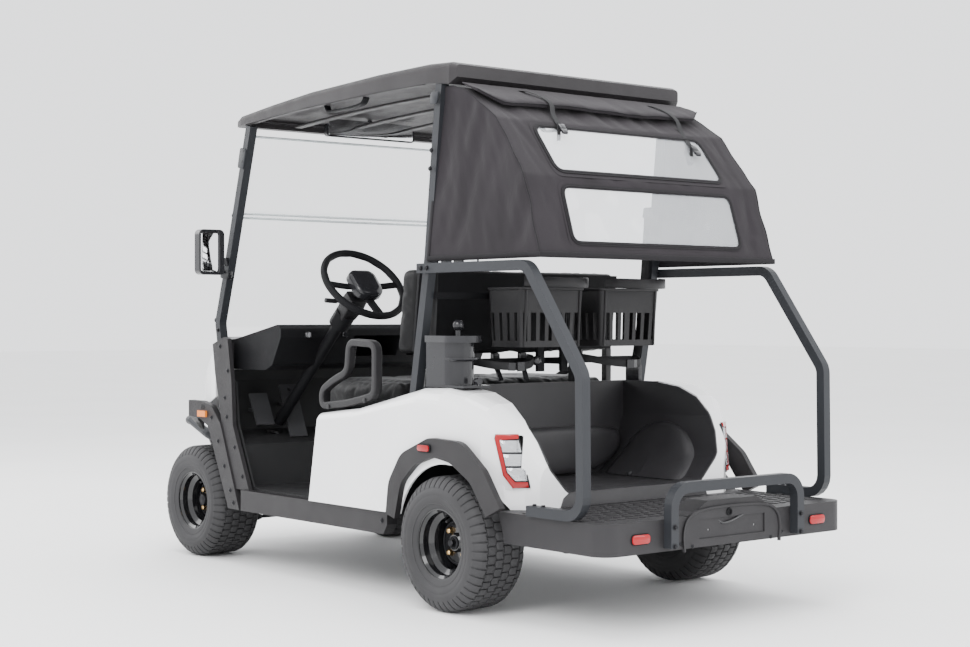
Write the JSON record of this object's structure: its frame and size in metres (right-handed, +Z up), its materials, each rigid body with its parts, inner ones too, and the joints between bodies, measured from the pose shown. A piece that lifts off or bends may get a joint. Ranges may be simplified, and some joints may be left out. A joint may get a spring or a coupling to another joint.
{
  "type": "golf cart",
  "caption": "Open electric golf cart with a bench seat, a clear windshield, a hard roof, an open bag well with a step deck behind it and a fabric club cover.",
  "frame": {"origin": "on the ground, under the centre of the cart's overall length and width", "axes": "+X forward, +Y to the driver's left, +Z up"},
  "size_m": [2.839, 1.376, 1.79],
  "materials": {
    "steel_frame": "satin black chassis paint",
    "post_paint": "fine-textured blue-grey powder coat",
    "white_panel": "gloss white",
    "grey_trim": "grained dark grey",
    "black_interior": "grained black",
    "black_gloss": "semi-gloss black",
    "rim_paint": "gloss black",
    "tyre": "moulded rubber",
    "seat_vinyl": "black vinyl",
    "cover_cloth": "dark purple-grey woven cloth",
    "clear_vinyl": "clear flexible vinyl",
    "windshield_clear": "clear acrylic",
    "red_lens": "red lens",
    "amber_lens": "amber lens",
    "headlamp_lens": "clear lens over bright reflector",
    "battery_case": "plain case",
    "pedal_grey": "light grey grained",
    "mirror_black": "black housing"
  },
  "bodies": {
    "cart_body": {"chassis_frame": "steel_frame", "battery_pack": "battery_case", "rear_axle": "steel_frame", "front_axle": "steel_frame", "leaf_springs": "steel_frame", "floor_pan": "black_interior", "front_cowl": "white_panel", "front_fascia": "grey_trim", "front_flares": "grey_trim", "door_trims": "grey_trim", "dashboard": "black_interior", "rocker_panels": "grey_trim", "seat_base": "black_interior", "rear_body": "white_panel", "rear_flares": "grey_trim", "bag_well": "black_interior", "rear_deck": "grey_trim", "deck_guard_bar": "post_paint", "front_bumper_bar": "post_paint", "canopy_posts": "post_paint", "cover_side_tubes": "post_paint", "roof": "grey_trim", "windshield": "windshield_clear", "club_cover": "cover_cloth", "cover_windows": "clear_vinyl", "steering_column": "black_interior", "pedals": "pedal_grey", "seat_back": "seat_vinyl", "seat_back_shell": "black_interior", "hip_restraints": "black_interior", "bag_rack": "post_paint", "sweater_baskets": "black_interior", "ball_washer": "black_gloss", "headlamps": "headlamp_lens", "marker_lamps": "amber_lens", "tail_lamps": "red_lens", "side_mirrors": "mirror_black", "cabin_mirror": "mirror_black"},
    "steering_wheel": {"steering_wheel": "black_gloss"},
    "seat": {"seat_cushion": "seat_vinyl"},
    "knuckle_left": {"knuckle_left": "steel_frame"},
    "knuckle_right": {"knuckle_right": "steel_frame"},
    "tie_rod": {"tie_rod": "steel_frame"},
    "wheel_front_left": {"rim_front_left": "rim_paint", "tyre_front_left": "tyre"},
    "wheel_front_right": {"rim_front_right": "rim_paint", "tyre_front_right": "tyre"},
    "wheel_rear_left": {"rim_rear_left": "rim_paint", "tyre_rear_left": "tyre"},
    "wheel_rear_right": {"rim_rear_right": "rim_paint", "tyre_rear_right": "tyre"}
  },
  "joints": [
    {"name": "steering_wheel_turn", "type": "hinge", "parent": "cart_body", "child": "steering_wheel", "pos_m": [0.168, 0.3, 1.073], "axis": [-0.7314, 0, 0.682], "range_deg": [-450, 450]},
    {"name": "steer_left", "type": "hinge", "parent": "cart_body", "child": "knuckle_left", "pos_m": [0.99, 0.32, 0.22], "axis": [0, 0, 1], "range_deg": [-25, 25]},
    {"name": "steer_right", "type": "hinge", "parent": "cart_body", "child": "knuckle_right", "pos_m": [0.99, -0.32, 0.22], "axis": [0, 0, 1], "range_deg": [-25, 25]},
    {"name": "tie_rod_pivot", "type": "hinge", "parent": "knuckle_left", "child": "tie_rod", "pos_m": [0.87, 0.32, 0.15], "axis": [0, 0, 1], "range_deg": [-25, 25]},
    {"name": "roll_front_left", "type": "hinge", "parent": "knuckle_left", "child": "wheel_front_left", "pos_m": [0.99, 0.458, 0.22], "axis": [0, 1, 0], "continuous": true},
    {"name": "roll_front_right", "type": "hinge", "parent": "knuckle_right", "child": "wheel_front_right", "pos_m": [0.99, -0.458, 0.22], "axis": [0, 1, 0], "continuous": true},
    {"name": "roll_rear_left", "type": "hinge", "parent": "cart_body", "child": "wheel_rear_left", "pos_m": [-0.68, 0.517, 0.22], "axis": [0, 1, 0], "continuous": true},
    {"name": "roll_rear_right", "type": "hinge", "parent": "cart_body", "child": "wheel_rear_right", "pos_m": [-0.68, -0.517, 0.22], "axis": [0, 1, 0], "continuous": true},
    {"name": "seat_lift", "type": "hinge", "parent": "cart_body", "child": "seat", "pos_m": [0.142, 0, 0.619], "axis": [0, 1, 0], "range_deg": [0, 45]}
  ],
  "couplings": [
    {"joint": "steer_left", "follows": "steering_wheel_turn", "ratio": 0.055556},
    {"joint": "steer_right", "follows": "steering_wheel_turn", "ratio": 0.055556},
    {"joint": "tie_rod_pivot", "follows": "steering_wheel_turn", "ratio": -0.055556}
  ]
}
